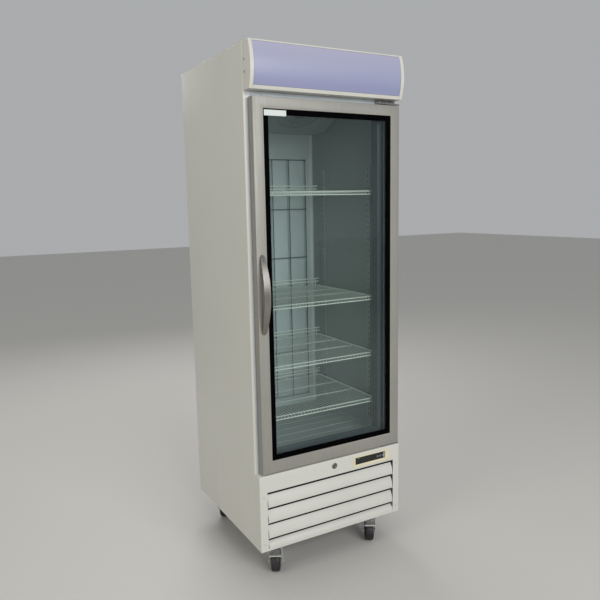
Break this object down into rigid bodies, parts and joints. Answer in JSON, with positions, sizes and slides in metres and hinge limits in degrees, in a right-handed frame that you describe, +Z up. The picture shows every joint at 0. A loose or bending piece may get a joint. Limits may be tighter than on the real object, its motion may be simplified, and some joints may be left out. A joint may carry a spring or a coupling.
{
  "type": "glass door merchandiser",
  "caption": "Upright refrigerated merchandiser with one hinged glass door, wire shelves, a curved light-box sign, a louvred base grille and swivel casters.",
  "frame": {"origin": "on the floor under the middle of the footprint, handle included", "axes": "+Z up, the door faces -Y, +X to the right of somebody facing the door"},
  "size_m": [0.686, 0.73, 2.085],
  "materials": {
    "white_paint": "gloss powder coat",
    "sign_frame_white": "gloss",
    "sign_lens": "glossy translucent",
    "lamp_white": "opal",
    "face_white": "satin",
    "liner_white": "satin",
    "foam": "rigid cellular foam",
    "zinc": "zinc plated",
    "wire_coat": "plastic coated wire",
    "finned_aluminium": "bare",
    "black_paint": "satin black",
    "motor_black": "matt",
    "copper": "drawn tube",
    "satin_aluminium": "satin anodised",
    "brushed_handle": "brushed",
    "clear_glass": "clear",
    "black_spacer": "matt black",
    "gasket_grey": "flexible vinyl",
    "lock_chrome": "polished",
    "bezel_cream": "satin",
    "display_dark": "tinted window",
    "button_grey": "satin",
    "fork_zinc": "bright zinc",
    "wheel_black": "hard rubber"
  },
  "bodies": {
    "cabinet": {"back_panel": "white_paint", "base_chassis": "zinc", "bottom_hinge_bracket": "zinc", "breaker_frame": "face_white", "cabinet_screws": "zinc", "caster_plates": "zinc", "compressor": "black_paint", "condenser_coil": "finned_aluminium", "condenser_fan_motor": "motor_black", "condenser_fan_shroud": "black_paint", "control_box": "zinc", "display_bezel": "bezel_cream", "display_module": "display_dark", "drain_pan": "zinc", "evaporator_coil": "finned_aluminium", "evaporator_fan_motor": "motor_black", "evaporator_housing": "liner_white", "foam_insulation": "foam", "grille_panel": "white_paint", "inner_liner": "liner_white", "interior_light": "lamp_white", "left_side_panel": "white_paint", "lock_barrel": "lock_chrome", "rear_cover": "white_paint", "rear_wire_guard": "wire_coat", "refrigerant_lines": "copper", "right_side_panel": "white_paint", "shelf_clips": "zinc", "shelf_pilasters": "zinc", "sign_housing": "sign_frame_white", "sign_lamp": "lamp_white", "sign_panel": "sign_lens", "top_hinge_bracket": "zinc", "top_panel": "white_paint"},
    "door": {"door_frame": "satin_aluminium", "glass_panes": "clear_glass", "glass_spacer": "black_spacer", "door_gasket": "gasket_grey", "door_handle": "brushed_handle"},
    "lock_plug": {"lock_plug": "lock_chrome"},
    "lock_bolt": {"lock_bolt": "zinc"},
    "set_button": {"set_button": "button_grey"},
    "up_button": {"up_button": "button_grey"},
    "down_button": {"down_button": "button_grey"},
    "condenser_fan": {"condenser_fan_blade": "motor_black"},
    "evaporator_fan": {"evaporator_fan_blade": "motor_black"},
    "shelf_1": {"shelf_1": "wire_coat"},
    "shelf_2": {"shelf_2": "wire_coat"},
    "shelf_3": {"shelf_3": "wire_coat"},
    "shelf_4": {"shelf_4": "wire_coat"},
    "fork_front_left": {"caster_fork_front_left": "fork_zinc"},
    "wheel_front_left": {"caster_wheel_front_left": "wheel_black"},
    "fork_front_right": {"caster_fork_front_right": "fork_zinc"},
    "wheel_front_right": {"caster_wheel_front_right": "wheel_black"},
    "fork_rear_left": {"caster_fork_rear_left": "fork_zinc"},
    "wheel_rear_left": {"caster_wheel_rear_left": "wheel_black"},
    "fork_rear_right": {"caster_fork_rear_right": "fork_zinc"},
    "wheel_rear_right": {"caster_wheel_rear_right": "wheel_black"},
    "brake_front_left": {"brake_lever_front_left": "fork_zinc"},
    "brake_front_right": {"brake_lever_front_right": "fork_zinc"}
  },
  "joints": [
    {"name": "door_swing", "type": "hinge", "parent": "cabinet", "child": "door", "pos_m": [0.323, -0.307, 1.172], "axis": [0, 0, 1], "range_deg": [0, 120]},
    {"name": "lock_turn", "type": "hinge", "parent": "cabinet", "child": "lock_plug", "pos_m": [0.005, -0.31, 0.418], "axis": [0, 1, 0], "range_deg": [0, 90]},
    {"name": "bolt_throw", "type": "slide", "parent": "cabinet", "child": "lock_bolt", "axis": [0, 0, 1], "range_m": [0, 0.012]},
    {"name": "set_press", "type": "slide", "parent": "cabinet", "child": "set_button", "axis": [0, 1, 0], "range_m": [0, 0.0015], "stiffness_N_per_m": 400},
    {"name": "up_press", "type": "slide", "parent": "cabinet", "child": "up_button", "axis": [0, 1, 0], "range_m": [0, 0.0015], "stiffness_N_per_m": 400},
    {"name": "down_press", "type": "slide", "parent": "cabinet", "child": "down_button", "axis": [0, 1, 0], "range_m": [0, 0.0015], "stiffness_N_per_m": 400},
    {"name": "condenser_fan_spin", "type": "hinge", "parent": "cabinet", "child": "condenser_fan", "pos_m": [0, -0.135, 0.29], "axis": [0, 1, 0], "continuous": true},
    {"name": "evaporator_fan_spin", "type": "hinge", "parent": "cabinet", "child": "evaporator_fan", "pos_m": [0.09, 0.06, 1.89887], "axis": [0, -0.4297, -0.903], "continuous": true},
    {"name": "shelf_1_lift", "type": "slide", "parent": "cabinet", "child": "shelf_1", "axis": [0, 0, 1], "range_m": [0, 0.05]},
    {"name": "shelf_2_lift", "type": "slide", "parent": "cabinet", "child": "shelf_2", "axis": [0, 0, 1], "range_m": [0, 0.05]},
    {"name": "shelf_3_lift", "type": "slide", "parent": "cabinet", "child": "shelf_3", "axis": [0, 0, 1], "range_m": [0, 0.05]},
    {"name": "shelf_4_lift", "type": "slide", "parent": "cabinet", "child": "shelf_4", "axis": [0, 0, 1], "range_m": [0, 0.05]},
    {"name": "swivel_front_left", "type": "hinge", "parent": "cabinet", "child": "fork_front_left", "pos_m": [-0.236, -0.24, 0.113], "axis": [0, 0, 1], "continuous": true},
    {"name": "roll_front_left", "type": "hinge", "parent": "fork_front_left", "child": "wheel_front_left", "pos_m": [-0.252, -0.26771, 0.045], "axis": [0.866, -0.5, 0], "continuous": true},
    {"name": "swivel_front_right", "type": "hinge", "parent": "cabinet", "child": "fork_front_right", "pos_m": [0.236, -0.24, 0.113], "axis": [0, 0, 1], "continuous": true},
    {"name": "roll_front_right", "type": "hinge", "parent": "fork_front_right", "child": "wheel_front_right", "pos_m": [0.22, -0.26771, 0.045], "axis": [0.866, -0.5, 0], "continuous": true},
    {"name": "swivel_rear_left", "type": "hinge", "parent": "cabinet", "child": "fork_rear_left", "pos_m": [-0.236, 0.31, 0.113], "axis": [0, 0, 1], "continuous": true},
    {"name": "roll_rear_left", "type": "hinge", "parent": "fork_rear_left", "child": "wheel_rear_left", "pos_m": [-0.252, 0.28229, 0.045], "axis": [0.866, -0.5, 0], "continuous": true},
    {"name": "swivel_rear_right", "type": "hinge", "parent": "cabinet", "child": "fork_rear_right", "pos_m": [0.236, 0.31, 0.113], "axis": [0, 0, 1], "continuous": true},
    {"name": "roll_rear_right", "type": "hinge", "parent": "fork_rear_right", "child": "wheel_rear_right", "pos_m": [0.22, 0.28229, 0.045], "axis": [0.866, -0.5, 0], "continuous": true},
    {"name": "brake_front_left_press", "type": "hinge", "parent": "fork_front_left", "child": "brake_front_left", "pos_m": [-0.251, -0.26598, 0.096], "axis": [0.866, -0.5, 0], "range_deg": [0, 12], "stiffness_Nm_per_rad": 2},
    {"name": "brake_front_right_press", "type": "hinge", "parent": "fork_front_right", "child": "brake_front_right", "pos_m": [0.221, -0.26598, 0.096], "axis": [0.866, -0.5, 0], "range_deg": [0, 12], "stiffness_Nm_per_rad": 2}
  ],
  "couplings": [
    {"joint": "lock_turn", "follows": "bolt_throw", "rad_per_m": 130.9}
  ]
}
